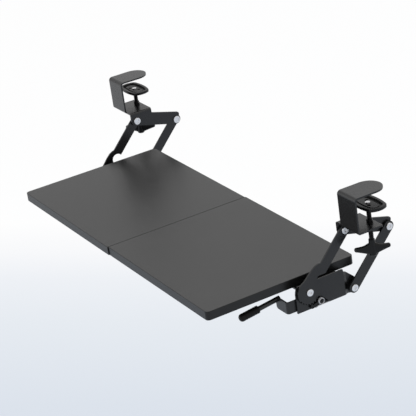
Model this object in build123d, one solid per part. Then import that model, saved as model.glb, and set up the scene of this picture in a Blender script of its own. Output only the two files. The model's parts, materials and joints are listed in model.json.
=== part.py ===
from build123d import *
import os
from math import acos, atan2, cos, degrees, radians, sin, sqrt, tan

os.makedirs("parts", exist_ok=True)

# The frame: +X to the sitter's right, +Y away from the sitter and in under the desk, +Z up.
# The origin is the desk's top front edge, midway between the two clamps: the desk's front
# face is at Y = 0 and its top is at Z = 0. Everything on the right is made once and mirrored.

# Tray: two boards side by side, each with a plastic band round its three open sides
tray_width = 686.0
tray_depth = 285.0
board_t = 16.0
corner_r = 7.0
band_t = 1.0
band_round = 0.8
seam_chamfer = 0.6
seam_gap = 0.8
seam_step = 1.6

# Linkage seen from the side: two arms of one length on pivots of one spacing
arm_length = 116.6
arm_lean_deg = 46.7
pivot_spacing = 89.3
pivot_slope_deg = 15.0
upper_pivot_back = 10.5
upper_pivot_drop = 14.3
lower_pivot_drop = 7.4
lower_pivot_from_middle = 38.75

# Layers from the tray's end outwards, the same for every pivot
end_gap = 14.0
bracket_t = 3.0
bush_flange_t = 1.2
pivot_play = 0.1
arm_t = 3.0

# Desk clamps
clamp_offset = 43.3
clamp_width = 50.0
upper_jaw_reach = 64.5
lower_jaw_reach = 45.5
throat = 58.0
upper_bend_r = 3.5
lower_bend_r = 0.8
jaw_corner_r = 3.0
cheek_front_lap = 0.6
cheek_above_front = 18.5
cheek_above_rear = 15.0
cheek_below = 9.5
cheek_front_r = 10.7
cheek_rear_r = 9.5
cheek_rear_past = 5.5
cheek_corner_r = 5.0
cheek_root_r = 3.0

# Arms
arm_w = 18.5
front_notch_r = 10.5
front_notch_along = 33.0
front_notch_aside = 7.0
front_notch_to_edge = 20.0
level_notch_back = 18.0
level_notch_up = 23.0
level_notch_r = 3.0
neck_along = 51.0
neck_corner_r = 4.0
toothed_neck_shares = ((0.95, 0.58), (0.82, 0.73), (0.67, 0.82), (0.16, 0.90))
plain_neck_shares = ((0.88, 0.66), (0.80, 0.84), (0.67, 1.02), (0.45, 1.06), (0.22, 1.0))
sector_r = 22.3
plain_end_r = 13.5

# Locking notches in the sector's rim
notch_pitch_deg = 15.0
notches_up = 3
notches_down = 4
notch_depth = 2.2
notch_mouth = 4.2
notch_floor = 2.2
pawl_at_deg = -86.0
pawl_rim_gap = 0.25

# Pivot bolts, sleeve nuts and bushes
bolt_r = 4.0
bolt_head_r = 6.3
bolt_head_t = 3.0
bolt_head_round = 1.2
bolt_reach_share = 0.75
bolt_root_share = 0.33
sleeve_head_r = 7.0
sleeve_head_t = 3.5
sleeve_round = 0.8
socket_flats = 5.0
socket_depth = 1.8
bush_wall = 1.5
bush_flange_r = 8.2
fit_gap = 0.05
spacer_r = 6.5
bore_gap = 0.05

# Side plates that hang under the tray's ends
side_front = 24.0
side_foot = 32.5
side_lip = 15.1
side_lip_back = 70.5
side_step_drop = 4.8
side_step_r = 1.5
side_rear_r = 11.4
side_tail_along = 10.0
side_tail_drop = 2.2
side_corner_r = 4.0
side_tail_shares = ((0.68, 0.8), (0.7, 1.3), (0.5, 0.0))
joggle = 4.0
joggle_start_back = 15.5
joggle_run = 7.0
flange_t = 3.0
flange_in = 66.0
flange_front = 16.0
flange_back = 66.0
flange_corner_r = 6.0
relief_gap = 0.8

# Cross rails that join the two boards from below
rail_w = 30.0
rail_h = 11.0
rail_t = 2.0
rail_length = 560.0
rail_round = 1.5
front_rail_from_middle = -70.0
rear_rail_from_middle = 76.0

# Screws into the boards
screw_r = 2.0
screw_head_r = 4.2
screw_head_t = 2.2
screw_length = 12.0
screw_recess = 1.0
screw_head_round = 0.7
flange_screw_inset = 12.0
rail_screw_shares = (0.06, 0.36, 0.66, 0.94)

# Release lever with its pawl
pawl_pin_back = 18.5
pawl_pin_drop = 21.0
pawl_pin_r = 2.5
pawl_pin_head_r = 4.6
pawl_pin_head_t = 1.6
pawl_arm_r = 5.0
pawl_eye_gap = 0.3
finger_w = 6.0
nose_base = 5.0
nose_root = 1.5
strap_t = 3.0
strap_play = 0.7
strap_h = 21.0
strap_top_below = 8.2
strap_front_along = 40.5
strap_shoulder_along = 24.0
strap_bend_r = 5.0
strap_inward = 31.8
strap_corner_r = 5.0
rod_r = 4.3
rod_below_top = 3.9
rod_from_end = 3.0
rod_behind = 2.5
droop_deg = 6.8
grip_from_strap = 37.0
grip_r = 6.7
grip_length = 37.0
grip_skin = 1.6
grip_groove = 0.5
grip_grooves = 6
grip_groove_w = 2.0
grip_tip_r = 5.5
clip_r = 4.1
clip_t = 0.8
clip_gap = 0.15

# Return spring on the pawl pin, outside the pawl
spring_r = 5.0
spring_wire_r = 0.55
spring_turns = 3
spring_gap = 0.5
spring_play = 0.15
spring_points = 8
spring_front_fall_deg = 22.5
spring_rear_leg = 13.0
spring_front_leg = 13.2
hook_bend_r = 1.2
hook_in = 2.3
stop_share = 0.8
stop_r = 1.5

# Clamp screw, thread bush, wing knob and pressure pad
thread_r = 4.0
thread_pitch = 1.25
screw_chamfer = 0.6
bush_r = 5.5
bush_h = 6.0
nut_bore_gap = 0.08
screw_behind_edge = 37.0
knob_top_drop = 27.0
knob_h = 29.0
knob_top_r = 5.4
knob_foot_r = 7.0
knob_floor = 2.5
knob_span = 60.0
knob_wing_w = 7.0
knob_waist_w = 9.0
knob_tip_r = 3.3
knob_edge_r = 3.0
knob_turns_deg = {"right": 65.0, "left": 50.0}
knob_shoulder_shares = ((0.18, 0.0), (0.20, 0.15), (0.28, 0.31), (0.42, 0.40), (0.66, 0.44), (1.0, 0.43))
knob_foot_shares = ((1.0, 0.67), (0.62, 0.79), (0.30, 0.90), (0.23, 1.0))
pad_drops = {"right": 22.0, "left": 24.2}
pad_long_r = 36.0
pad_short_r = 20.5
pad_corner_share = 0.82
pad_corner_r = 9.0
pad_h = 5.0
pad_rim = 4.5
pad_rim_slope = 1.5
pad_groove = 6.5
pad_floor = 1.4
pad_plateau = 3.0
pad_round = 0.8
pad_pocket_r = 3.0
pad_pocket_depth = 1.6
pad_pocket_at = (10.0, -4.5)
neck_r = 2.6
neck_gap = 0.1
rivet_r = 4.4
rivet_h = 1.7
rivet_round = 0.8

overrun = 2.0
straight_share = 0.001
quarters = 4

# Places worked out from the sizes above
plate_x = tray_width / 2 + end_gap
pad_lift = {"right": 0.0, "left": pad_drops["right"] - pad_drops["left"]}
arm_x = plate_x + bracket_t + pivot_play + bush_flange_t
clamp_x = plate_x + clamp_offset
jaw_floor_z = -throat - bracket_t
lean = radians(arm_lean_deg)
slope = radians(pivot_slope_deg)
upper_front = (upper_pivot_back, jaw_floor_z - upper_pivot_drop)
back_step = (pivot_spacing * cos(slope), -pivot_spacing * sin(slope))
arm_step = (arm_length * cos(lean), arm_length * sin(lean))
upper_rear = (upper_front[0] + back_step[0], upper_front[1] + back_step[1])
lower_front = (upper_front[0] - arm_step[0], upper_front[1] - arm_step[1])
lower_rear = (lower_front[0] + back_step[0], lower_front[1] + back_step[1])
tray_under_z = lower_front[1] + lower_pivot_drop
tray_top_z = tray_under_z + board_t
tray_mid_y = lower_front[0] - lower_pivot_from_middle
pawl_pin = (lower_front[0] + pawl_pin_back, lower_front[1] - pawl_pin_drop)
head_x = arm_x + arm_t + pivot_play
clamp_screw_y = screw_behind_edge


def upright(x, at=(0, 0), turn_deg=0):
    """A plane that faces +X, with its own x along +Y, turned about a point of the side view."""
    turn = radians(turn_deg)
    return Plane(origin=(x, at[0], at[1]), x_dir=(0, cos(turn), sin(turn)), z_dir=(1, 0, 0))


def level(z, at=(0, 0)):
    """A plane that faces +Z at a height, centred on a point of the plan."""
    return Plane(origin=(at[0], at[1], z), x_dir=(1, 0, 0), z_dir=(0, 0, 1))


def sheet_yz(outline, x0, x1, at=(0, 0), turn_deg=0):
    """A flat outline of the side view made into a sheet between two X places."""
    return extrude(upright(x0, at, turn_deg) * outline, x1 - x0, dir=(1, 0, 0))


def rod_x(r, x0, x1, at):
    """A round bar along X between two places."""
    return extrude(upright(x0, at) * Circle(r), x1 - x0)


def rod_z(r, z0, z1, at):
    """A round bar along Z between two heights."""
    return extrude(level(z0, at) * Circle(r), z1 - z0)


def outline_of(points, radii):
    """A closed outline through points, each corner rounded by its own radius; zero keeps it sharp."""
    corners = []
    for i, ((x, y), r) in enumerate(zip(points, radii)):
        before = (Vector(*points[i - 1]) - Vector(x, y))
        after = (Vector(*points[(i + 1) % len(points)]) - Vector(x, y))
        room = min(before.length, after.length) / 2
        before = before.normalized()
        after = after.normalized()
        half = acos(max(-1, min(1, before.dot(after)))) / 2
        if r == 0 or cos(half) == 0 or (before + after).length < straight_share:
            corners.append((Vector(x, y),))
            continue
        run = min(r / tan(half), room)
        bow = run * (1 / cos(half) - tan(half))
        middle = Vector(x, y) + (before + after).normalized() * bow
        corners.append((Vector(x, y) + before * run, middle, Vector(x, y) + after * run))
    pieces = []
    for i, corner in enumerate(corners):
        if len(corner) > 1:
            pieces.append(ThreePointArc(*corner))
        start = corner[-1]
        end = corners[(i + 1) % len(corners)][0]
        if (end - start).length > straight_share:
            pieces.append(Line(start, end))
    return make_face(Wire([e for piece in pieces for e in piece.edges()]))


def along_slope(origin, along, aside):
    """A point measured along the line of two pivots and square to it, upwards."""
    return (origin[0] + along * cos(slope) + aside * sin(slope),
            origin[1] - along * sin(slope) + aside * cos(slope))


def mirrored(solid):
    return mirror(solid, about=Plane.YZ)


# Desk clamps

def cheek_outline():
    """The cheek that hangs from the lower jaw and carries the two upper pivots."""
    front = -cheek_front_lap
    jaw_end = lower_jaw_reach
    fall = (cheek_above_front - cheek_above_rear) / pivot_spacing
    step_along = (jaw_end - upper_front[0]) / cos(slope)
    step = along_slope(upper_front, step_along, cheek_above_front - fall * step_along)
    rear_top = along_slope(upper_front, pivot_spacing + cheek_rear_past, cheek_above_rear)
    rear_side = along_slope(upper_front, pivot_spacing + cheek_rear_past, 0)
    rear_low = along_slope(upper_front, pivot_spacing, -cheek_below)
    front_low = along_slope(upper_front, 0, -cheek_below)
    points = ((front, jaw_floor_z + bracket_t), (jaw_end, jaw_floor_z + bracket_t),
              (jaw_end, step[1]), rear_top, rear_side, rear_low, front_low, (front, upper_front[1]))
    radii = (0, 0, cheek_root_r, cheek_corner_r, 0, 0, 0, 0)
    face = outline_of(points, radii)
    face += Pos(*upper_front) * Circle(cheek_front_r)
    face += Pos(*upper_rear) * Circle(cheek_rear_r)
    return face


def bent_front(block, upper_r, lower_r):
    """The same block with its two front edges along X rounded, each by its own radius."""
    front = block.edges().filter_by(Axis.X).group_by(Axis.Y)[0]
    block = fillet(front.group_by(Axis.Z)[-1], upper_r)
    front = block.edges().filter_by(Axis.X).filter_by(lambda e: e.center().Z < -throat / 2)
    return fillet(front.group_by(Axis.Y)[0].group_by(Axis.Z)[0], lower_r)


def clamp_bracket():
    """One folded steel strip: upper jaw, web against the desk's edge, lower jaw and cheek."""
    height = throat + 2 * bracket_t
    reach = upper_jaw_reach + bracket_t
    fold_r = lower_bend_r + bracket_t
    block = Pos(clamp_x, reach / 2 - bracket_t, bracket_t - height / 2) * Box(clamp_width, reach, height)
    block = bent_front(block, upper_bend_r + bracket_t, fold_r)
    hollow = Pos(clamp_x, reach / 2, -throat / 2) * Box(clamp_width + 2 * overrun, reach, throat)
    block -= bent_front(hollow, upper_bend_r, lower_bend_r)
    tip_y = upper_jaw_reach - clamp_width / 2
    tongue = Pos(clamp_x, tip_y) * Circle(clamp_width / 2)
    tongue += Pos(clamp_x, tip_y / 2 - bracket_t) * Rectangle(clamp_width, tip_y + 2 * bracket_t)
    upper_half = extrude(level(-throat / 2) * tongue, throat)
    lower_half = Pos(clamp_x, lower_jaw_reach / 2 - bracket_t, -throat) * Box(
        clamp_width, lower_jaw_reach + 2 * bracket_t, throat)
    outer = lower_half.edges().filter_by(Axis.Z).group_by(Axis.X)[-1].group_by(Axis.Y)[-1]
    block &= upper_half + fillet(outer, jaw_corner_r)
    jaw_w = clamp_x + clamp_width / 2 - plate_x
    drop = jaw_floor_z + bracket_t - upper_rear[1] + cheek_rear_r + overrun
    depth = upper_rear[0] + cheek_rear_r + 2 * overrun
    fold = Pos(plate_x + jaw_w / 2, depth / 2 - overrun, jaw_floor_z + bracket_t - drop / 2) * Box(
        jaw_w, depth, drop)
    fold = fillet(fold.edges().filter_by(Axis.Y).group_by(Axis.X)[0].group_by(Axis.Z)[-1], fold_r)
    under = Pos(plate_x + bracket_t + jaw_w / 2, depth / 2 - overrun, jaw_floor_z - drop / 2) * Box(
        jaw_w, depth + 2 * overrun, drop)
    fold -= fillet(under.edges().filter_by(Axis.Y).group_by(Axis.X)[0].group_by(Axis.Z)[-1], lower_bend_r)
    fold &= sheet_yz(cheek_outline(), plate_x - overrun, plate_x + jaw_w / 2)
    bracket = block + fold
    bracket -= rod_z(thread_r + bore_gap, jaw_floor_z - overrun, jaw_floor_z + bracket_t + overrun,
                     (clamp_x, clamp_screw_y))
    for pivot in (upper_front, upper_rear):
        bracket -= rod_x(bolt_r, plate_x - overrun, plate_x + bracket_t + overrun, pivot)
    return bracket


def thread_bush():
    """Round threaded bush welded on top of the lower jaw."""
    z0 = jaw_floor_z + bracket_t
    at = (clamp_x, clamp_screw_y)
    blank = rod_z(bush_r, z0, z0 + bush_h, at)
    blank = chamfer(blank.edges().group_by(Axis.Z)[-1], screw_chamfer)
    return blank - rod_z(thread_r + nut_bore_gap, z0 - overrun, z0 + bush_h + overrun, at)


def pad_floor_z():
    """The right pad's underside."""
    return -pad_drops["right"] - pad_h


def clamp_screw():
    """The clamp's screw: threaded length, and a thin neck that passes up through the pad."""
    at = (clamp_x, clamp_screw_y)
    shoulder_z = pad_floor_z() - neck_gap
    foot_z = jaw_floor_z - knob_top_drop - knob_h + knob_floor
    thread = rod_z(thread_r, foot_z, shoulder_z, at)
    thread = chamfer(thread.edges().group_by(Axis.Z)[0], screw_chamfer)
    return thread + rod_z(neck_r, shoulder_z - overrun, pad_floor_z() + pad_plateau + neck_gap, at)


def pad_rivet():
    """Low round head on the screw's neck that keeps the pad on."""
    z0 = pad_floor_z() + pad_plateau + neck_gap
    head = rod_z(rivet_r, z0, z0 + rivet_h, (clamp_x, clamp_screw_y))
    return fillet(head.edges().group_by(Axis.Z)[-1], rivet_round)


def knob_side():
    """The wings seen square on: saddles that fall from a narrow hub to long round tips."""
    half = knob_span / 2
    upper_line = [(s * half, -d * knob_h) for s, d in knob_shoulder_shares]
    lower_line = [(s * half, -d * knob_h) for s, d in knob_foot_shares]
    right = upper_line + lower_line
    radii = [0] + [knob_edge_r] * (len(upper_line) - 2) + [knob_tip_r, knob_tip_r]
    radii += [knob_edge_r] * (len(lower_line) - 2) + [0]
    left = [(-x, z) for x, z in reversed(right)]
    return outline_of(right + left, radii + radii[::-1])


def wing_knob(side):
    """Moulded wing knob: a round tapered hub, and wings cut from their side view and plan."""
    half = knob_span / 2
    wing = Polygon((-half, -knob_wing_w / 2), (0, -knob_waist_w / 2), (half, -knob_wing_w / 2),
                   (half, knob_wing_w / 2), (0, knob_waist_w / 2), (-half, knob_wing_w / 2), align=None)
    tips = wing.vertices().group_by(Axis.X)
    wing = fillet(tips[0] + tips[-1], knob_tip_r)
    body = extrude(level(-knob_h - overrun) * wing, knob_h + 2 * overrun)
    body &= extrude(Plane(origin=(0, knob_waist_w, 0), x_dir=(1, 0, 0), z_dir=(0, -1, 0))
                    * knob_side(), 2 * knob_waist_w, dir=(0, -1, 0))
    hub = loft([level(-knob_h) * Circle(knob_foot_r), level(0) * Circle(knob_top_r)])
    body += hub
    body -= rod_z(thread_r, knob_floor - knob_h, overrun, (0, 0))
    return Pos(clamp_x, clamp_screw_y, jaw_floor_z - knob_top_drop) * Rot(0, 0, knob_turns_deg[side]) * body


def pad_outline(grow):
    """The pad's plan, a round-cornered oblong with bowed sides, grown or drawn in by an amount."""
    a = pad_long_r + grow
    b = pad_short_r + grow
    x = pad_corner_share * a
    y = pad_corner_share * b
    sides = (((x, y), (0, b), (-x, y)), ((-x, y), (-a, 0), (-x, -y)),
             ((-x, -y), (0, -b), (x, -y)), ((x, -y), (a, 0), (x, y)))
    face = make_face(Wire([ThreePointArc(*side).edge() for side in sides]))
    return fillet(face.vertices(), pad_corner_r * b / pad_short_r)


def pressure_pad():
    """Pressed pad: broad rim, a groove all round inside it, and a raised middle with two pockets."""
    body = extrude(pad_outline(0), pad_h)
    body = fillet(body.edges().group_by(Axis.Z)[-1] + body.edges().group_by(Axis.Z)[0], pad_round)
    floor = level(pad_floor) * pad_outline(-pad_rim - pad_rim_slope)
    brim = level(pad_h + overrun) * pad_outline(-pad_rim)
    body -= loft([floor.face(), brim.face()])
    body += extrude(pad_outline(-pad_rim - pad_groove), pad_plateau)
    body -= rod_z(neck_r + neck_gap, -overrun, pad_h + overrun, (0, 0))
    for turn in (0, 180):
        body -= Rot(0, 0, turn) * rod_z(pad_pocket_r, pad_plateau - pad_pocket_depth, pad_h, pad_pocket_at)
    return Pos(clamp_x, clamp_screw_y, pad_floor_z()) * body


# Pivots

def hex_socket(x_open, pivot):
    """The key's socket, sunk inwards from an outer face."""
    return extrude(upright(x_open - socket_depth, pivot) * RegularPolygon(
        socket_flats / 2, 6, major_radius=False), socket_depth + overrun)


def pivot_bolt(pivot, inner_x):
    """Low round head outside the arm and a plain shank into the sleeve nut."""
    shank = rod_x(bolt_r, inner_x - sleeve_head_t * bolt_reach_share,
                  head_x + bolt_head_t * bolt_root_share, pivot)
    head = rod_x(bolt_head_r, head_x, head_x + bolt_head_t, pivot)
    head = fillet(head.edges().group_by(Axis.X)[-1], bolt_head_round)
    return shank + head - hex_socket(head_x + bolt_head_t, pivot)


def sleeve_nut(pivot, inner_x):
    """Round nut with a low head on the plate's inner face."""
    head = rod_x(sleeve_head_r, inner_x - sleeve_head_t, inner_x, pivot)
    head = fillet(head.edges().group_by(Axis.X)[0], sleeve_round)
    return head - rod_x(bolt_r, inner_x - sleeve_head_t - overrun, inner_x + overrun, pivot)


def arm_bush(pivot):
    """Plastic bush: a sleeve in the arm's eye and a flange that runs on the plate."""
    flange = rod_x(bush_flange_r, arm_x - bush_flange_t, arm_x, pivot)
    sleeve = rod_x(bolt_r + fit_gap + bush_wall, arm_x - bush_flange_t, arm_x + arm_t, pivot)
    return flange + sleeve - rod_x(bolt_r + fit_gap, arm_x - overrun, arm_x + arm_t + overrun, pivot)


def rear_spacer():
    """Tube that fills the step between the side plate's tail and the bush."""
    x0 = plate_x - joggle + bracket_t
    tube = rod_x(spacer_r, x0, plate_x + bracket_t, lower_rear)
    return tube - rod_x(bolt_r, x0 - overrun, plate_x + bracket_t + overrun, lower_rear)


# Arms

def arm_eyes():
    r = bolt_r + fit_gap + bush_wall
    return Circle(r) + Pos(arm_length, 0) * Circle(r)


def rear_arm():
    """Plain flat link with round ends, measured from its lower pivot."""
    link = Pos(arm_length / 2, 0) * SlotCenterToCenter(arm_length, arm_w)
    return sheet_yz(link - arm_eyes(), arm_x, arm_x + arm_t, lower_rear, arm_lean_deg)


def front_arm_outline(end_r, neck_shares):
    """Link that steps forward into a wide lower end, before the hollow behind the step."""
    half = arm_w / 2
    bar_from = front_notch_along
    bar = Pos((bar_from + arm_length) / 2, 0) * Rectangle(arm_length - bar_from, arm_w)
    neck = [(s * neck_along, d * end_r) for s, d in neck_shares]
    points = [(neck_along, half), *neck, (0, end_r), (0, -half), (bar_from, -half), (neck_along, -half)]
    radii = [neck_corner_r] * (len(neck) + 1) + [0] * 4
    face = bar + outline_of(points, radii)
    face += Circle(end_r)
    return face + Pos(arm_length, 0) * Circle(half)


def round_notch():
    """The plain arm's hollow: a round bite behind the step, open to the rear."""
    hollow = Pos(front_notch_along, -front_notch_aside) * Circle(front_notch_r)
    foot = front_notch_along - front_notch_r
    below = Polygon((foot, -front_notch_aside), (front_notch_along + front_notch_r, -front_notch_aside),
                    (front_notch_along + front_notch_r, -front_notch_to_edge),
                    (foot, -front_notch_to_edge), align=None)
    return hollow + below


def level_notch():
    """The toothed arm's hollow: its upper edge is level while the tray is at rest."""
    far = level_notch_back + arm_w + arm_w
    points = ((level_notch_back, 0), (far, 0), (far, level_notch_up), (level_notch_back, level_notch_up))
    return Rot(0, 0, -arm_lean_deg) * outline_of(points, (0, 0, 0, level_notch_r))


def toothed_front_arm():
    """The right front arm: its lower end is a sector with locking notches in the rim."""
    face = front_arm_outline(sector_r, toothed_neck_shares) - level_notch() + Circle(sector_r)
    mouth_r = sector_r + overrun
    flare = (notch_mouth - notch_floor) / (2 * notch_depth)
    mouth = notch_mouth / 2 + flare * overrun
    for step in range(-notches_up, notches_down + 1):
        turn = pawl_at_deg - arm_lean_deg - step * notch_pitch_deg
        notch = Polygon((sector_r - notch_depth, -notch_floor / 2), (mouth_r, -mouth),
                        (mouth_r, mouth), (sector_r - notch_depth, notch_floor / 2), align=None)
        face -= Rot(0, 0, turn) * notch
    return sheet_yz(face - arm_eyes(), arm_x, arm_x + arm_t, lower_front, arm_lean_deg)


def plain_front_arm():
    """The left front arm: the same step, with a plain round end."""
    face = front_arm_outline(plain_end_r, plain_neck_shares) - round_notch()
    return sheet_yz(face - arm_eyes(), arm_x, arm_x + arm_t, lower_front, arm_lean_deg)


# Tray

def board_outline(inset):
    """The right board's plan, drawn in by an amount on its three open sides."""
    w = tray_width / 2 - seam_gap / 2 - inset
    d = tray_depth - 2 * inset
    face = Pos(seam_gap / 2 + w / 2, 0) * Rectangle(w, d)
    return fillet(face.vertices().group_by(Axis.X)[-1], corner_r - inset)


def board(shift):
    """Board core, with pilot holes for the screws from below."""
    core = extrude(level(tray_under_z, (0, tray_mid_y + shift)) * board_outline(band_t), board_t)
    seam = core.edges().filter_by(Axis.Y).group_by(Axis.X)[0].group_by(Axis.Z)[-1]
    core = chamfer(seam, seam_chamfer)
    for x, y in flange_screw_places() + rail_screw_places():
        core -= rod_z(screw_r, tray_under_z - overrun, tray_under_z + screw_length, (x, y))
    return core


def edge_band(shift):
    """Plastic band round the board's three open sides."""
    ring = extrude(level(tray_under_z, (0, tray_mid_y + shift)) * board_outline(0), board_t)
    outer = ring.edges().group_by(Axis.Z)
    rims = [e for g in (outer[0], outer[-1]) for e in g if e.center().X > band_round]
    ring = fillet(rims, band_round)
    core = level(tray_under_z - overrun, (0, tray_mid_y + shift)) * board_outline(band_t)
    return ring - extrude(core, board_t + 2 * overrun)


def side_outline():
    """Side plate seen from the side, measured from its front pivot."""
    tail = along_slope((0, 0), pivot_spacing, 0)
    lip_end = (side_lip_back, side_lip)
    step = (side_lip_back, side_lip - side_step_drop)
    (top_in, top_down), (rear_out, rear_up), (side_out, side_up) = [
        (back * side_rear_r, up * side_rear_r) for back, up in side_tail_shares]
    shoulder = (tail[0] - top_in, side_lip - top_down)
    rear = (tail[0] + rear_out, tail[1] + rear_up)
    heel = (tail[0] - side_tail_along, -side_foot)
    points = ((-side_front, 0), (-side_front, -side_foot), heel, (tail[0], -side_foot - side_tail_drop),
              (tail[0] + side_out, tail[1] + side_up), rear, shoulder, step, lip_end, (0, side_lip), (0, 0))
    radii = (0, 0, side_corner_r, 0, 0, side_corner_r, side_corner_r, side_step_r, side_step_r, 0, 0)
    face = outline_of(points, radii)
    crown = Circle(side_front) & (Pos(-side_front / 2, side_lip / 2) * Rectangle(side_front, side_lip))
    face += crown
    face += Pos(*tail) * Circle(side_rear_r)
    return face


def side_plate(with_pawl):
    """Steel plate under the tray's end: upright with a stepped tail, and a flange for the screws."""
    at = lower_front
    step = back_step[0] - joggle_start_back
    far = back_step[0] + side_rear_r + side_rear_r
    near = -side_front - side_rear_r
    lane = [(plate_x, near), (plate_x, step), (plate_x - joggle, step + joggle_run), (plate_x - joggle, far),
            (plate_x - joggle + bracket_t, far), (plate_x - joggle + bracket_t, step + joggle_run),
            (plate_x + bracket_t, step), (plate_x + bracket_t, near)]
    low = side_foot + side_rear_r
    sheet = extrude(level(at[1] - low, (0, at[0])) * Polygon(*lane, align=None), 2 * low, dir=(0, 0, 1))
    plate = sheet & sheet_yz(side_outline(), plate_x - 2 * joggle, plate_x + 2 * bracket_t, at)
    flange_y0 = at[0] - flange_front
    flange_y1 = at[0] + flange_back
    flange = Pos(plate_x - flange_in / 2 + bracket_t / 2, (flange_y0 + flange_y1) / 2,
                 tray_under_z - flange_t / 2) * Box(flange_in + bracket_t, flange_y1 - flange_y0, flange_t)
    inner = flange.edges().filter_by(Axis.Z).group_by(Axis.X)[0]
    plate += fillet(inner, flange_corner_r)
    for pivot, x in ((lower_front, plate_x), (lower_rear, plate_x - joggle)):
        plate -= rod_x(bolt_r, x - overrun, x + bracket_t + overrun, pivot)
    notch_x = sleeve_head_t + relief_gap
    notch_y = 2 * (sleeve_head_r + relief_gap)
    plate -= Pos(plate_x - notch_x / 2, at[0], tray_under_z) * Box(notch_x, notch_y, 2 * side_lip)
    if with_pawl:
        plate -= rod_x(pawl_pin_r + fit_gap, plate_x - overrun, plate_x + bracket_t + overrun, pawl_pin)
        plate -= spring_stop()
    for place in flange_screw_places():
        plate -= rod_z(screw_r, tray_under_z - flange_t - overrun, tray_under_z + overrun, place)
    return plate


def flange_screw_places():
    """Four places on the right flange, in plan."""
    x1 = plate_x - end_gap - flange_screw_inset
    x0 = plate_x - flange_in + flange_screw_inset
    y0 = lower_front[0] - flange_front + flange_screw_inset
    y1 = lower_front[0] + flange_back - flange_screw_inset
    return [(x, y) for x in (x0, x1) for y in (y0, y1)]


def rail_screw_places():
    """Places along the right half of both rails, in plan."""
    half = rail_length / 2
    ys = [tray_mid_y + front_rail_from_middle, tray_mid_y + rear_rail_from_middle]
    return [(s * half, y) for s in rail_screw_shares for y in ys]


def board_screw(place, head_top_z):
    """Pan head screw driven upwards, with a cross recess."""
    head = rod_z(screw_head_r, head_top_z - screw_head_t, head_top_z, place)
    head = fillet(head.edges().group_by(Axis.Z)[0], screw_head_round)
    shank = rod_z(screw_r, head_top_z - screw_head_t / 2, tray_under_z + screw_length, place)
    cross = Rectangle(screw_head_r, screw_recess) + Rectangle(screw_recess, screw_head_r)
    cut = extrude(level(head_top_z - screw_head_t - overrun, place) * cross, overrun + screw_head_t / 2)
    return head + shank - cut


def cross_rail(y):
    """Folded steel channel under both boards, open downwards."""
    z = tray_under_z
    rail = Pos(0, y, z - rail_h / 2) * Box(rail_length, rail_w, rail_h)
    rail = fillet(rail.edges().filter_by(Axis.X).group_by(Axis.Z)[-1], rail_round)
    rail -= Pos(0, y, z - rail_t - rail_h / 2) * Box(
        rail_length + 2 * overrun, rail_w - 2 * rail_t, rail_h)
    for x, hole_y in rail_screw_places():
        if abs(hole_y - y) < rail_w / 2:
            for side in (-x, x):
                rail -= rod_z(screw_r, z - rail_t - overrun, z + overrun, (side, hole_y))
    return rail


# Release lever

def strap_places():
    """The strap's layer in X and its front and top in the side view."""
    outer_x = plate_x - strap_play
    front_y = lower_front[0] - strap_front_along
    top_z = lower_front[1] - strap_top_below
    return outer_x, front_y, top_z


def lever_strap():
    """Bent steel strap: a leg inside the side plate and a short leg turned inwards."""
    outer_x, front_y, top_z = strap_places()
    foot_z = top_z - strap_h
    shoulder_y = front_y + strap_shoulder_along
    back_y = pawl_pin[0] + pawl_arm_r + overrun
    leg = Polygon((front_y, foot_z), (shoulder_y, foot_z), (pawl_pin[0], pawl_pin[1] - pawl_arm_r),
                  (pawl_pin[0], pawl_pin[1] + pawl_arm_r), (shoulder_y, top_z), (front_y, top_z), align=None)
    leg += Pos(*pawl_pin) * Circle(pawl_arm_r)
    wide = strap_inward + strap_t
    deep = strap_h + pawl_pin_drop + pawl_arm_r
    block = Pos(outer_x - wide / 2, (front_y + back_y) / 2, top_z) * Box(wide, back_y - front_y, 2 * deep)
    corner = block.edges().filter_by(Axis.Z).group_by(Axis.X)[-1].group_by(Axis.Y)[0]
    block = fillet(corner, strap_bend_r)
    room = Pos(outer_x - strap_t - wide / 2, (front_y + back_y) / 2 + strap_t, top_z) * Box(
        wide, back_y - front_y, 2 * (deep + overrun))
    inside = room.edges().filter_by(Axis.Z).group_by(Axis.X)[-1].group_by(Axis.Y)[0]
    block -= fillet(inside, strap_bend_r - strap_t)
    strap = block & sheet_yz(leg, outer_x - 2 * wide, outer_x + overrun)
    inner_end = strap.edges().filter_by(Axis.Y).group_by(Axis.X)[0]
    strap = fillet(inner_end, strap_corner_r)
    strap -= rod_x(pawl_pin_r, outer_x - strap_t - overrun, outer_x + overrun, pawl_pin)
    return strap - lever_rod()


def rod_frame():
    """A plane on the strap's front face, centred on the rod, that looks out along it."""
    outer_x, front_y, top_z = strap_places()
    droop = radians(droop_deg)
    x = outer_x - strap_inward - strap_t + rod_from_end
    return Plane(origin=(x, front_y, top_z - rod_below_top), x_dir=(1, 0, 0),
                 z_dir=(0, -cos(droop), -sin(droop)))


def lever_rod():
    """Straight round rod, set through the strap's inner end and drooping a little."""
    reach = grip_from_strap + grip_length - grip_skin
    start = strap_t + rod_behind
    return rod_frame().location * Pos(0, 0, -start) * extrude(Circle(rod_r), start + reach)


def lever_grip():
    """Soft sleeve pushed on the rod, with shallow finger grooves and a closed round tip."""
    body = extrude(Circle(grip_r), grip_length)
    body = fillet(body.edges().group_by(Axis.Z)[-1], grip_tip_r)
    body = fillet(body.edges().group_by(Axis.Z)[0], grip_groove)
    pitch = (grip_length - grip_tip_r) / (grip_grooves + 1)
    for i in range(grip_grooves):
        z = pitch * (i + 1) - grip_groove_w / 2
        ring = Circle(grip_r + overrun) - Circle(grip_r - grip_groove)
        body -= extrude(level(z) * ring, grip_groove_w)
    body = rod_frame().location * Pos(0, 0, grip_from_strap) * body
    return body - lever_rod()


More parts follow.
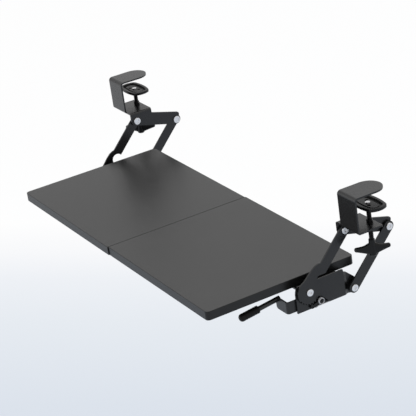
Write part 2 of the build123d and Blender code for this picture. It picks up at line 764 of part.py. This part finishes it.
def lock_pawl():
    """Pawl in the arms' layer: an eye on the pin and a curved finger with a nose at the sector's rim."""
    reach = (Vector(*pawl_pin) - Vector(*lower_front)).length
    eye_r = reach - sector_r - pawl_eye_gap
    pin_turn = degrees(atan2(pawl_pin[1] - lower_front[1], pawl_pin[0] - lower_front[0]))
    band = Circle(reach + finger_w / 2) - Circle(reach - finger_w / 2)
    far = 2 * reach
    ends = [(far * cos(radians(turn)), far * sin(radians(turn))) for turn in (pin_turn, pawl_at_deg)]
    finger = band & Polygon((0, 0), *ends, align=None)
    finger += Rot(0, 0, pawl_at_deg) * Pos(reach, 0) * Circle(finger_w / 2)
    finger += Rot(0, 0, pin_turn) * Pos(reach, 0) * Circle(eye_r)
    tip = sector_r + pawl_rim_gap
    root = reach - finger_w / 2 + nose_root
    nose = Polygon((tip, -notch_floor / 2), (root, -nose_base / 2), (root, nose_base / 2),
                   (tip, notch_floor / 2), align=None)
    face = finger + Rot(0, 0, pawl_at_deg) * nose
    pawl = sheet_yz(face, arm_x, arm_x + arm_t, lower_front)
    return pawl - rod_x(pawl_pin_r, arm_x - overrun, arm_x + arm_t + overrun, pawl_pin)


def spring_span():
    """The coil's axial places: the turns start over the pawl's face and climb outwards."""
    turns = spring_turns - spring_front_fall_deg / 360
    inner = arm_x + arm_t + clip_gap + spring_gap / 2 + spring_wire_r
    return turns, inner, inner + turns * (2 * spring_wire_r + spring_gap)


def pawl_pin_solid():
    """Pin through strap, side plate and pawl, with its head inside the strap."""
    turns, inner, outer = spring_span()
    x_in = plate_x - strap_play - strap_t
    shank = rod_x(pawl_pin_r, x_in, outer, pawl_pin)
    head = rod_x(pawl_pin_head_r, x_in - pawl_pin_head_t, x_in, pawl_pin)
    head = fillet(head.edges().group_by(Axis.X)[0], pawl_pin_head_t / 2)
    return shank + head


def pin_collar():
    """Collar that fills the layer between the side plate and the pawl."""
    tube = rod_x(pawl_pin_head_r, plate_x + bracket_t + pivot_play, arm_x, pawl_pin)
    return tube - rod_x(pawl_pin_r, plate_x, arm_x + overrun, pawl_pin)


def pin_clip():
    """Ring that keeps the pawl on the pin."""
    x0 = arm_x + arm_t + clip_gap
    ring = rod_x(clip_r, x0, x0 + clip_t, pawl_pin)
    return ring - rod_x(pawl_pin_r, x0 - overrun, x0 + clip_t + overrun, pawl_pin)


def biarc(start, start_way, end, end_way):
    """Two arcs that leave one point along a direction and reach another along a second one."""
    chord = end - start
    lead = chord.dot(start_way + end_way)
    spread = 2 * (1 - start_way.dot(end_way))
    reach = (sqrt(lead * lead + spread * chord.dot(chord)) - lead) / spread
    from_start = start + start_way * reach
    from_end = end - end_way * reach
    middle = (from_start + from_end) / 2
    return [TangentArc(start, middle, tangent=start_way),
            TangentArc(middle, end, tangent=from_end - from_start)]


def return_spring():
    """Torsion spring round the pin: its rear leg lies under the stop, its front leg under the pawl."""
    turns, inner, outer = spring_span()
    count = round(turns * quarters)
    bends = [radians(270 - turns * 360 * i / count) for i in range(count + 1)]
    rise = (outer - inner) / count
    places = [Vector(outer - rise * i, pawl_pin[0] + spring_r * cos(a), pawl_pin[1] + spring_r * sin(a))
              for i, a in enumerate(bends)]
    climb = rise / (spring_r * (bends[0] - bends[1]))
    ways = [Vector(-climb, sin(a), -cos(a)).normalized() for a in bends]
    ways[0] = Vector(0, -1, 0)
    ways[-1] = Vector(0, sin(bends[-1]), -cos(bends[-1]))
    rear_end = places[0] - ways[0] * spring_rear_leg
    bend_start = places[-1] + ways[-1] * (spring_front_leg - hook_bend_r)
    inwards = Vector(-1, 0, 0)
    bend_end = bend_start + (ways[-1] + inwards) * hook_bend_r
    edges = [Line(rear_end, places[0])]
    for i in range(count):
        edges += biarc(places[i], ways[i], places[i + 1], ways[i + 1])
    edges += [Line(places[-1], bend_start), TangentArc(bend_start, bend_end, tangent=ways[-1]),
              Line(bend_end, bend_end + inwards * hook_in)]
    path = Wire([e.edge() for e in edges])
    body = sweep(Plane(origin=rear_end, z_dir=ways[0]) * Circle(spring_wire_r), path)
    per_turn = spring_points * quarters
    turned = [e @ (i / spring_points) for e in edges[1:-3] for i in range(spring_points)]
    near = [(one - other).length for i, one in enumerate(turned) for other in turned[i + per_turn:]]
    print("spring gap to itself", round(min(near) - 2 * spring_wire_r, 3))
    return body


def spring_stop():
    """Stud in the side plate that the spring's rear leg bears on from below."""
    turns, inner, outer = spring_span()
    at = (pawl_pin[0] + spring_rear_leg * stop_share,
          pawl_pin[1] - spring_r + spring_wire_r + stop_r + spring_play)
    return rod_x(stop_r, plate_x, outer + spring_wire_r, at)


def both(solid):
    """The right and left copies of a solid, as one group."""
    return [solid, mirrored(solid)]


def write(node, solids):
    shape = solids if isinstance(solids, list) else [solids]
    flat = [s for part in shape for s in part.solids()]
    out = flat[0] if len(flat) == 1 else Compound(children=flat)
    export_step(out, f"parts/{node}.step")
    print(node, len(flat))


bracket = clamp_bracket()
write("right_clamp_bracket", bracket)
write("left_clamp_bracket", mirrored(bracket))
write("clamp_thread_bushes", both(thread_bush()))

for node, make in (("clamp_screw", clamp_screw), ("pad_rivet", pad_rivet), ("pressure_pad", pressure_pad)):
    solid = make()
    write(f"right_{node}", solid)
    write(f"left_{node}", Pos(0, 0, pad_lift["left"]) * mirrored(solid))
write("right_wing_knob", wing_knob("right"))
write("left_wing_knob", Pos(-2 * clamp_x, 0, pad_lift["left"]) * wing_knob("left"))

upper = [(upper_front, plate_x), (upper_rear, plate_x)]
lower = [(lower_front, plate_x), (lower_rear, plate_x - joggle)]
write("upper_pivot_bolts", [s for p, x in upper for s in both(pivot_bolt(p, x))])
write("upper_sleeve_nuts", [s for p, x in upper for s in both(sleeve_nut(p, x))])
write("lower_pivot_bolts", [s for p, x in lower for s in both(pivot_bolt(p, x))])
write("lower_sleeve_nuts", [s for p, x in lower for s in both(sleeve_nut(p, x))])
write("rear_spacers", both(rear_spacer()))

front_bushes = [arm_bush(lower_front), arm_bush(upper_front)]
rear_bushes = [arm_bush(lower_rear), arm_bush(upper_rear)]
write("right_front_arm", toothed_front_arm())
write("left_front_arm", mirrored(plain_front_arm()))
rear = rear_arm()
write("right_rear_arm", rear)
write("left_rear_arm", mirrored(rear))
write("right_front_bushes", front_bushes)
write("left_front_bushes", [mirrored(s) for s in front_bushes])
write("right_rear_bushes", rear_bushes)
write("left_rear_bushes", [mirrored(s) for s in rear_bushes])

write("right_board", board(seam_step / 2))
write("left_board", mirrored(board(-seam_step / 2)))
write("right_edge_band", edge_band(seam_step / 2))
write("left_edge_band", mirrored(edge_band(-seam_step / 2)))
write("right_side_plate", side_plate(True))
write("left_side_plate", mirrored(side_plate(False)))
write("front_cross_rail", cross_rail(tray_mid_y + front_rail_from_middle))
write("rear_cross_rail", cross_rail(tray_mid_y + rear_rail_from_middle))
write("flange_screws", [s for p in flange_screw_places()
                        for s in both(board_screw(p, tray_under_z - flange_t))])
write("rail_screws", [s for p in rail_screw_places() for s in both(board_screw(p, tray_under_z - rail_t))])

write("lever_strap", lever_strap())
write("lever_rod", lever_rod())
write("lever_grip", lever_grip())
write("lock_pawl", lock_pawl())
write("pawl_pin", pawl_pin_solid())
write("pawl_collar", pin_collar())
write("pin_clip", pin_clip())
write("return_spring", return_spring())
write("spring_stop", spring_stop())
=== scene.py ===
# %% [markdown]
# A keyboard tray that hangs under a desk's front edge
#
# The real object is a thin black board on four steel arms. Two screw clamps hold it to a desk.
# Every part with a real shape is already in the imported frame, so this lesson loads that frame,
# sets up the camera, light and floor, and then gives each part its finish. A few parts
# whose looks need more than a plain solid, such as the threaded screws, are modelled here.

import json
from math import cos, pi, radians, sin

import bmesh
import bpy
from mathutils import Matrix, Vector


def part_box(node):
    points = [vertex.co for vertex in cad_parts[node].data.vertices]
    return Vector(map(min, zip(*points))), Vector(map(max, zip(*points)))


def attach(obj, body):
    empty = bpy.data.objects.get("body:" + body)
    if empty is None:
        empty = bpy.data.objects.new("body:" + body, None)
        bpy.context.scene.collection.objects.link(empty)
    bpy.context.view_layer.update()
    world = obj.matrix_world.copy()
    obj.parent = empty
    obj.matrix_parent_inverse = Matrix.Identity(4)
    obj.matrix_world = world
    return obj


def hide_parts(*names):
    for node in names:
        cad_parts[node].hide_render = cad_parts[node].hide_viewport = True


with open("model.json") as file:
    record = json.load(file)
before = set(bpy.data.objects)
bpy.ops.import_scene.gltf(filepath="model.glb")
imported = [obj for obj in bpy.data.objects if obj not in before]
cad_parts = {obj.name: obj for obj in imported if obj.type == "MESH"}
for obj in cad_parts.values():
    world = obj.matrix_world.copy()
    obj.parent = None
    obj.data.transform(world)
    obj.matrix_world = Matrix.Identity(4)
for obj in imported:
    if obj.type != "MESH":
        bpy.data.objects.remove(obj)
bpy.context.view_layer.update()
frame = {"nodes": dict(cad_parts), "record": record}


# %% [markdown]
# The camera
#
# The reference view is a long-lens shot from the right front, a little above the tray. A camera
# could be aimed with a Track To constraint, but the view is tilted a few degrees,
# so its three axes are written out and put straight into its matrix.

# %% Camera
CAMERA_PLACE = (2.54224, -1.34315, 1.11933)
CAMERA_RIGHT = (0.502515, 0.854041, -0.134509)
CAMERA_UP = (-0.286893, 0.311485, 0.905908)
CAMERA_BACK = (0.815580, -0.416643, 0.401544)
LENS_MM = 149.985
SENSOR_MM = 36.0
FAR_LIMIT = 100.0

camera_data = bpy.data.cameras.new("camera")
camera_data.lens = LENS_MM
camera_data.sensor_width = SENSOR_MM
camera_data.clip_end = FAR_LIMIT
camera = bpy.data.objects.new("camera", camera_data)
bpy.context.scene.collection.objects.link(camera)
turn = Matrix((CAMERA_RIGHT, CAMERA_UP, CAMERA_BACK)).transposed().to_4x4()
camera.matrix_world = Matrix.Translation(CAMERA_PLACE) @ turn
bpy.context.scene.camera = camera
print("camera stands", round(Vector(CAMERA_PLACE).length, 2), "m from the desk's edge")

# %% [markdown]
# The light
#
# A black object shows its shape by what it mirrors, so it is shot in a white room: nearly all
# of its greys are the pale world and floor seen at a glancing angle. A wide lamp over the tray and
# a weak one in front only add a soft direction to that.

# %% Lamps and world
def soft_lamp(name, place, aim, size, watts):
    """A square area lamp that faces a point."""
    data = bpy.data.lights.new(name, "AREA")
    data.shape = "RECTANGLE"
    data.size, data.size_y = size
    data.energy = watts
    lamp = bpy.data.objects.new(name, data)
    bpy.context.scene.collection.objects.link(lamp)
    lamp.location = place
    lamp.rotation_euler = (Vector(aim) - Vector(place)).to_track_quat("-Z", "Y").to_euler()
    return lamp


TRAY_MIDDLE = (0.0, -0.11, -0.135)
LAMPS = {
    # place, size in metres, watts
    "top_lamp": ((-0.6, 0.9, 2.2), (2.6, 2.0), 12),
    "front_lamp": ((-1.2, -2.6, 0.9), (1.8, 1.8), 12),
}
for name, (place, size, watts) in LAMPS.items():
    soft_lamp(name, place, TRAY_MIDDLE, size, watts)

WORLD_WHITE = (1.0, 1.0, 1.0, 1.0)
WORLD_STRENGTH = 0.85
world = bpy.data.worlds.new("studio")
world.use_nodes = True
bpy.context.scene.world = world
backdrop = world.node_tree.nodes["Background"]
backdrop.inputs["Color"].default_value = WORLD_WHITE
backdrop.inputs["Strength"].default_value = WORLD_STRENGTH
bpy.context.scene.view_settings.view_transform = "Standard"
print(len(LAMPS), "lamps and a white world are in place")

# %% [markdown]
# Small helpers for materials
#
# A finish is a tree of nodes. Each one here starts from the same three steps: a Principled
# shader, the object's own coordinates, and noise at the scale of the real grain. The helpers
# keep the cells that follow short.

# %% Node helpers
CLOUD_DETAIL = 2.0
SOFT_EDGE_SAMPLES = 4
SOFT_EDGE_M = 0.0004


def new_material(name):
    """A material with a Principled shader; gives back its tree, the shader and the coordinates."""
    material = bpy.data.materials.new(name)
    material.use_nodes = True
    tree = material.node_tree
    shader = tree.nodes["Principled BSDF"]
    place = tree.nodes.new("ShaderNodeTexCoord")
    return material, tree, shader, place.outputs["Object"]


def noise(tree, place, per_metre, detail=3.0, stretch=None):
    """Noise on the object's coordinates, with a number of waves per metre."""
    if stretch:
        mapping = tree.nodes.new("ShaderNodeMapping")
        mapping.inputs["Scale"].default_value = stretch
        tree.links.new(place, mapping.inputs["Vector"])
        place = mapping.outputs["Vector"]
    node = tree.nodes.new("ShaderNodeTexNoise")
    node.inputs["Scale"].default_value = per_metre
    node.inputs["Detail"].default_value = detail
    tree.links.new(place, node.inputs["Vector"])
    return node.outputs["Fac"]


def spread(tree, value, low, high, start=0.3, end=0.7):
    """A value stretched from one range to another."""
    node = tree.nodes.new("ShaderNodeMapRange")
    node.inputs["From Min"].default_value = start
    node.inputs["From Max"].default_value = end
    node.inputs["To Min"].default_value = low
    node.inputs["To Max"].default_value = high
    tree.links.new(value, node.inputs["Value"])
    return node.outputs["Result"]


def blend_colours(tree, value, one, other):
    """A colour between two, by a value from 0 to 1."""
    node = tree.nodes.new("ShaderNodeMix")
    node.data_type = "RGBA"
    node.inputs["A"].default_value = (*one, 1.0)
    node.inputs["B"].default_value = (*other, 1.0)
    tree.links.new(value, node.inputs["Factor"])
    return node.outputs["Result"]


def mottle(tree, shader, place, per_metre, dark, pale):
    """A base colour that drifts between two tones."""
    cloud = noise(tree, place, per_metre, CLOUD_DETAIL)
    colour = blend_colours(tree, spread(tree, cloud, 0.0, 1.0), dark, pale)
    tree.links.new(colour, shader.inputs["Base Color"])


def relief(tree, shader, height, depth_m, soft_edge_m=SOFT_EDGE_M):
    """Bump from a height, over edges softened by a small radius."""
    bump = tree.nodes.new("ShaderNodeBump")
    bump.inputs["Distance"].default_value = depth_m
    tree.links.new(height, bump.inputs["Height"])
    edge = tree.nodes.new("ShaderNodeBevel")
    edge.samples = SOFT_EDGE_SAMPLES
    edge.inputs["Radius"].default_value = soft_edge_m
    tree.links.new(edge.outputs["Normal"], bump.inputs["Normal"])
    tree.links.new(bump.outputs["Normal"], shader.inputs["Normal"])


# %% [markdown]
# Powder-coated steel
#
# The clamps, arms and side plates are cut and folded steel with a black powder coat. Baked
# powder has a fine orange-peel surface: satin, never a mirror. Two sizes of noise make it,
# a broad one for the peel and a fine one for the grain.

# %% Powder coat
PEEL_PER_METRE = 900.0
PEEL_DETAIL = 4.0
PEEL_DEPTH_M = 0.00012
POWDER_CLOUDS_PER_METRE = 30.0


def powder_coat(name, dark, pale, roughness=(0.24, 0.34), gloss=0.5):
    material, tree, shader, place = new_material(name)
    shader.inputs["Specular IOR Level"].default_value = gloss
    peel = noise(tree, place, PEEL_PER_METRE, PEEL_DETAIL)
    mottle(tree, shader, place, POWDER_CLOUDS_PER_METRE, dark, pale)
    tree.links.new(spread(tree, peel, *roughness), shader.inputs["Roughness"])
    relief(tree, shader, peel, PEEL_DEPTH_M)
    return material


BLACK_STEEL = powder_coat("black_powder_coat", (0.004, 0.004, 0.0045), (0.007, 0.007, 0.0075))
BLACK_OXIDE = powder_coat("blackened_steel", (0.004, 0.004, 0.0045), (0.007, 0.007, 0.0075),
                          roughness=(0.25, 0.35), gloss=0.3)
print("powder coat and blackened steel are mixed")

# %% [markdown]
# Bright zinc
#
# The pivot bolts are zinc plated, so they read as near-white dots on the
# black arms. It is a metal, so the colour sits in the reflection; fine turned scratches break
# the gloss.

# %% Zinc and spring wire
SCRATCHES_PER_METRE = 2500.0
SCRATCH_STRETCH = (0.1, 1.0, 1.0)
SCRATCH_DEPTH_M = 0.00002
METAL_CLOUDS_PER_METRE = 150.0
DARKER_SHARE = 0.85
METAL_SOFT_EDGE_M = 0.0003


def bright_metal(name, colour, roughness):
    material, tree, shader, place = new_material(name)
    shader.inputs["Metallic"].default_value = 1.0
    scratch = noise(tree, place, SCRATCHES_PER_METRE, CLOUD_DETAIL, stretch=SCRATCH_STRETCH)
    darker = tuple(c * DARKER_SHARE for c in colour)
    mottle(tree, shader, place, METAL_CLOUDS_PER_METRE, darker, colour)
    tree.links.new(spread(tree, scratch, *roughness), shader.inputs["Roughness"])
    relief(tree, shader, scratch, SCRATCH_DEPTH_M, METAL_SOFT_EDGE_M)
    return material


ZINC = bright_metal("bright_zinc", (0.86, 0.86, 0.87), (0.22, 0.38))
SPRING_WIRE = bright_metal("spring_wire", (0.6, 0.6, 0.61), (0.25, 0.4))
print("bright metals are mixed")

# %% [markdown]
# The tray's black laminate
#
# The boards are fibreboard under a black film with a fine pebble, like the cover of a
# notebook. Small cells of a Voronoi pattern, softened by noise, give the pebble; its low relief is what
# spreads the mirrored room into a broad grey sheen.

# %% Laminate and edge band
PEBBLES_PER_METRE = 1400.0
FILM_CLOUDS_PER_METRE = 8.0


def laminate(name, dark, pale, depth_m, roughness, gloss=0.5):
    material, tree, shader, place = new_material(name)
    shader.inputs["Specular IOR Level"].default_value = gloss
    cells = tree.nodes.new("ShaderNodeTexVoronoi")
    cells.inputs["Scale"].default_value = PEBBLES_PER_METRE
    tree.links.new(place, cells.inputs["Vector"])
    fine = noise(tree, place, PEBBLES_PER_METRE * 2)
    both = tree.nodes.new("ShaderNodeMath")
    both.operation = "MULTIPLY"
    tree.links.new(cells.outputs["Distance"], both.inputs[0])
    tree.links.new(fine, both.inputs[1])
    mottle(tree, shader, place, FILM_CLOUDS_PER_METRE, dark, pale)
    tree.links.new(spread(tree, fine, *roughness), shader.inputs["Roughness"])
    relief(tree, shader, both.outputs[0], depth_m)
    return material


LAMINATE = laminate("black_laminate", (0.008, 0.008, 0.008), (0.011, 0.011, 0.011), depth_m=0.00008,
                    roughness=(0.30, 0.38))
BAND = laminate("black_edge_band", (0.005, 0.005, 0.005), (0.008, 0.008, 0.008), depth_m=0.00005,
                roughness=(0.28, 0.36), gloss=0.36)
print("laminate and edge band are mixed")

# %% [markdown]
# Moulded plastic and rubber
#
# The wing knobs, the pads and the bushes are moulded nylon with a spark-eroded skin, and
# the lever's grip is a dipped vinyl sleeve. They differ from the steel mostly by their
# softer sheen.

# %% Plastics
GRAINS_PER_METRE = 1800.0
GRAIN_DEPTH_M = 0.00006
MOULDED_CLOUDS_PER_METRE = 60.0


def moulded(name, dark, pale, roughness, gloss):
    material, tree, shader, place = new_material(name)
    shader.inputs["Specular IOR Level"].default_value = gloss
    skin = noise(tree, place, GRAINS_PER_METRE)
    mottle(tree, shader, place, MOULDED_CLOUDS_PER_METRE, dark, pale)
    tree.links.new(spread(tree, skin, *roughness), shader.inputs["Roughness"])
    relief(tree, shader, skin, GRAIN_DEPTH_M)
    return material


KNOB_PLASTIC = moulded("knob_plastic", (0.003, 0.003, 0.0035), (0.005, 0.005, 0.0055),
                       roughness=(0.28, 0.38), gloss=0.25)
NYLON = moulded("nylon", (0.006, 0.006, 0.006), (0.010, 0.010, 0.010), roughness=(0.22, 0.32), gloss=0.6)
GRIP_RUBBER = moulded("grip_rubber", (0.003, 0.003, 0.003), (0.004, 0.004, 0.004),
                      roughness=(0.45, 0.55), gloss=0.2)
print("plastics are mixed")

# %% [markdown]
# Giving the parts their finishes
#
# Each part in the frame names the finish it has in its record. One table turns those names
# into the materials made above.

# %% Dress the frame
FINISHES = {
    "black_steel": BLACK_STEEL, "black_oxide": BLACK_OXIDE, "zinc": ZINC, "board_black": LAMINATE,
    "band_black": BAND, "nylon": NYLON, "knob_black": KNOB_PLASTIC, "grip_rubber": GRIP_RUBBER,
    "spring_steel": SPRING_WIRE,
}
for part in frame["record"]["subparts"]:
    node = frame["nodes"][part["node"]]
    node.data.materials.clear()
    node.data.materials.append(FINISHES[part["material_slot"]])

# %% [markdown]
# Helpers for new pieces
#
# The clamp screws and the wing knobs need more than the frame's plain solids. Each new piece
# is a bmesh turned into an object at the origin, which rides on its body, stands for the part it
# replaces and takes that part's finish.

# %% Piece helpers
SLOT_OF = {part["node"]: part["material_slot"] for part in frame["record"]["subparts"]}
MM = 0.001
SHARP_ANGLE_DEG = 40
TURN_STEPS = 32
MERGE_DISTANCE = 1e-6


def add_piece(name, mesh, node, body):
    """A finished bmesh as an object that stands for a part of the frame."""
    bmesh.ops.recalc_face_normals(mesh, faces=mesh.faces)
    data = bpy.data.meshes.new(name)
    mesh.to_mesh(data)
    mesh.free()
    data.polygons.foreach_set("use_smooth", [True] * len(data.polygons))
    data.set_sharp_from_angle(angle=radians(SHARP_ANGLE_DEG))
    piece = bpy.data.objects.new(name, data)
    bpy.context.scene.collection.objects.link(piece)
    data.materials.append(FINISHES[SLOT_OF[node]])
    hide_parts(node)
    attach(piece, body)
    return piece


def turned(mesh, profile):
    """A solid of revolution about Z from (radius, height) points that start and end on the axis."""
    ring = [mesh.verts.new((r, 0.0, z)) for r, z in profile]
    edges = [mesh.edges.new(pair) for pair in zip(ring, ring[1:])]
    bmesh.ops.spin(mesh, geom=ring + edges, cent=(0, 0, 0), axis=(0, 0, 1), angle=2 * pi,
                   steps=TURN_STEPS, use_merge=True)
    bmesh.ops.remove_doubles(mesh, verts=mesh.verts, dist=MERGE_DISTANCE)


def middle(node):
    """The middle of a part's box, and its lowest and highest places along Z."""
    low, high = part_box(node)
    return (low[0] + high[0]) / 2, (low[1] + high[1]) / 2, low[2], high[2]


print("helpers are ready")

# %% [markdown]
# The clamp screws
#
# An M8 screw has a ridge that climbs 1.25 mm in each turn. A Screw modifier would do the same; here
# bmesh's spin takes a small four-sided outline round the axis and lifts it as it goes, which
# leaves one unbroken ridge on a plain core.

# %% Threaded screws
THREAD_R = 4 * MM
PITCH = 1.25 * MM
DEPTH = 0.62 * MM
RIDGE_SINK = DEPTH / 4
RIDGE_HEIGHT_SHARES = (0.38, 0.5, 0.88)
NECK_R = 2.6 * MM
NECK_LENGTH = 3.5 * MM
STEPS_PER_TURN = 24


def threaded_screw(name, node, body):
    x, y, low, high = middle(node)
    root = THREAD_R - DEPTH
    shoulder = high - NECK_LENGTH
    mesh = bmesh.new()
    turned(mesh, [(0, low), (root - DEPTH, low), (root, low + DEPTH), (root, shoulder - DEPTH),
                  (root - DEPTH, shoulder), (NECK_R, shoulder), (NECK_R, high), (0, high)])
    inside = root - RIDGE_SINK
    start = low + PITCH
    turns = int((shoulder - start) / PITCH) - 1
    crest_low, crest_high, end = (start + PITCH * share for share in RIDGE_HEIGHT_SHARES)
    ridge = [mesh.verts.new(place) for place in (
        (inside, 0, start), (THREAD_R, 0, crest_low), (THREAD_R, 0, crest_high), (inside, 0, end))]
    face = mesh.faces.new(ridge)
    bmesh.ops.spin(mesh, geom=ridge + list(face.edges) + [face], cent=(0, 0, 0), axis=(0, 0, 1),
                   dvec=(0, 0, PITCH / STEPS_PER_TURN), angle=2 * pi * turns,
                   steps=turns * STEPS_PER_TURN)
    bmesh.ops.translate(mesh, verts=mesh.verts, vec=(x, y, 0))
    return turns, add_piece(name, mesh, node, body)


for side in ("right", "left"):
    turns, screw = threaded_screw(f"{side}_threaded_screw", f"{side}_clamp_screw", f"{side}_knob")
    print(screw.name, "has", turns, "turns and", len(screw.data.polygons), "faces")

# %% [markdown]
# The wing knobs
#
# A moulded wing knob has no sharp edge: its cross-section swells from a thin rounded tip to the
# hub. Rings of a rounded cross-section are set along the wings and joined by faces into one
# skin. A turned hub runs through the middle as a second skin.

# %% Wing knobs
KNOB_TURN = {"right": 65.0, "left": 50.0}
WING_STATIONS_MM = (
    # along, top drop, foot drop, half width
    (0.0, 6.5, 29.0, 5.0), (5.0, 7.5, 27.5, 4.8), (8.5, 9.2, 26.2, 4.5), (12.5, 11.2, 24.8, 4.1),
    (17.0, 12.1, 23.2, 3.8), (21.5, 12.5, 21.6, 3.6), (25.5, 12.6, 20.3, 3.5), (28.0, 12.8, 19.7, 3.1),
    (29.2, 13.6, 18.9, 2.4), (29.9, 14.7, 17.8, 1.4), (30.0, 15.7, 16.8, 0.6),
)
HUB_PROFILE_MM = (
    # radius, height from the knob's top
    (0.0, 0.0), (4.4, 0.0), (5.3, -0.8), (5.6, -10.0), (6.4, -22.0), (6.8, -27.8), (5.8, -29.0),
    (0.0, -29.0),
)
RING_POINTS = 24
ROUNDING = 0.62


def rounded(share):
    """A point of a rounded box outline with half sizes of 1, by a share of a full turn."""
    c, s = cos(2 * pi * share), sin(2 * pi * share)
    return (abs(c) ** ROUNDING * (1 if c >= 0 else -1), abs(s) ** ROUNDING * (1 if s >= 0 else -1))


def wing_knob_piece(name, node, body, turn_deg):
    x, y, low, high = middle(node)
    mesh = bmesh.new()
    one_wing = [tuple(value * MM for value in station) for station in WING_STATIONS_MM]
    other_wing = [(-along, top, foot, half) for along, top, foot, half in reversed(one_wing[1:])]
    points = [rounded(i / RING_POINTS) for i in range(RING_POINTS)]
    loops = []
    for along, top, foot, half in other_wing + one_wing:
        centre, tall = -(top + foot) / 2, (foot - top) / 2
        loops.append([mesh.verts.new((along, half * u, centre + tall * v)) for u, v in points])
    for one, other in zip(loops, loops[1:]):
        for i in range(RING_POINTS):
            j = (i + 1) % RING_POINTS
            mesh.faces.new((one[i], one[j], other[j], other[i]))
    mesh.faces.new(loops[0])
    mesh.faces.new(loops[-1])
    bmesh.ops.recalc_face_normals(mesh, faces=mesh.faces)
    hub = bmesh.new()
    turned(hub, [(r * MM, z * MM) for r, z in HUB_PROFILE_MM])
    hub_data = bpy.data.meshes.new("hub")
    hub.to_mesh(hub_data)
    hub.free()
    mesh.from_mesh(hub_data)
    place = Matrix.Translation((x, y, high)) @ Matrix.Rotation(radians(turn_deg), 4, "Z")
    bmesh.ops.transform(mesh, matrix=place, verts=mesh.verts)
    return add_piece(name, mesh, node, body)


for side in ("right", "left"):
    knob = wing_knob_piece(f"{side}_moulded_knob", f"{side}_wing_knob", f"{side}_knob", KNOB_TURN[side])
    print(knob.name, "has", len(knob.data.polygons), "faces")

# %% [markdown]
# The floor
#
# The reference has a plain backdrop that runs from white at the top to a pale blue below. The
# tray hangs at desk height, so the floor lies well under it. Its colour to the camera is a
# gradient along the floor; to the lamps it is a plain pale floor that takes the shadow.

# %% Floor
FLOOR_Z = -0.75
FLOOR_HALF = 30.0
AWAY = (-0.7071, 0.7071, 0.0)
BACKDROP_SPAN = (0.25, 1.25)
BACKDROP_STOPS = (
    (0.0, (0.70, 0.753, 0.83)), (0.43, (0.79, 0.83, 0.88)), (0.65, (0.855, 0.88, 0.92)),
    (0.8, (0.94, 0.947, 0.965)), (0.98, (1.0, 1.0, 1.0)),
)
GLOW_SHARE = 0.93
FLOOR_ROUGHNESS = 0.9
FLOOR_COLOUR = (0.88, 0.9, 0.93, 1.0)
floor_mesh = bmesh.new()
bmesh.ops.create_grid(floor_mesh, x_segments=1, y_segments=1, size=FLOOR_HALF)
bmesh.ops.translate(floor_mesh, verts=floor_mesh.verts, vec=(0.0, 0.0, FLOOR_Z))
floor_data = bpy.data.meshes.new("floor")
floor_mesh.to_mesh(floor_data)
floor_mesh.free()
floor = bpy.data.objects.new("floor", floor_data)
bpy.context.scene.collection.objects.link(floor)

floor_material, tree, shader, place = new_material("pale_floor")
shader.inputs["Roughness"].default_value = FLOOR_ROUGHNESS
shader.inputs["Base Color"].default_value = FLOOR_COLOUR
along = tree.nodes.new("ShaderNodeVectorMath")
along.operation = "DOT_PRODUCT"
along.inputs[1].default_value = AWAY
tree.links.new(place, along.inputs[0])
ramp = tree.nodes.new("ShaderNodeValToRGB")
stops = ramp.color_ramp.elements
while len(stops) < len(BACKDROP_STOPS):
    stops.new(0.5)
for stop, (share, colour) in zip(stops, BACKDROP_STOPS):
    stop.position = share
    stop.color = (*colour, 1.0)
tree.links.new(spread(tree, along.outputs["Value"], 0.0, 1.0, *BACKDROP_SPAN), ramp.inputs["Fac"])
glow = tree.nodes.new("ShaderNodeEmission")
tree.links.new(ramp.outputs["Color"], glow.inputs["Color"])
ray = tree.nodes.new("ShaderNodeLightPath")
seen = ray.outputs["Is Camera Ray"]
for other in ("Is Glossy Ray", "Is Transmission Ray"):
    either = tree.nodes.new("ShaderNodeMath")
    either.operation = "MAXIMUM"
    tree.links.new(seen, either.inputs[0])
    tree.links.new(ray.outputs[other], either.inputs[1])
    seen = either.outputs[0]
share = tree.nodes.new("ShaderNodeMath")
share.operation = "MULTIPLY"
share.inputs[1].default_value = GLOW_SHARE
tree.links.new(seen, share.inputs[0])
choose = tree.nodes.new("ShaderNodeMixShader")
tree.links.new(share.outputs[0], choose.inputs["Fac"])
tree.links.new(shader.outputs["BSDF"], choose.inputs[1])
tree.links.new(glow.outputs["Emission"], choose.inputs[2])
tree.links.new(choose.outputs["Shader"], tree.nodes["Material Output"].inputs["Surface"])
floor_data.materials.append(floor_material)
print("floor lies", -FLOOR_Z, "m under the desk's edge")
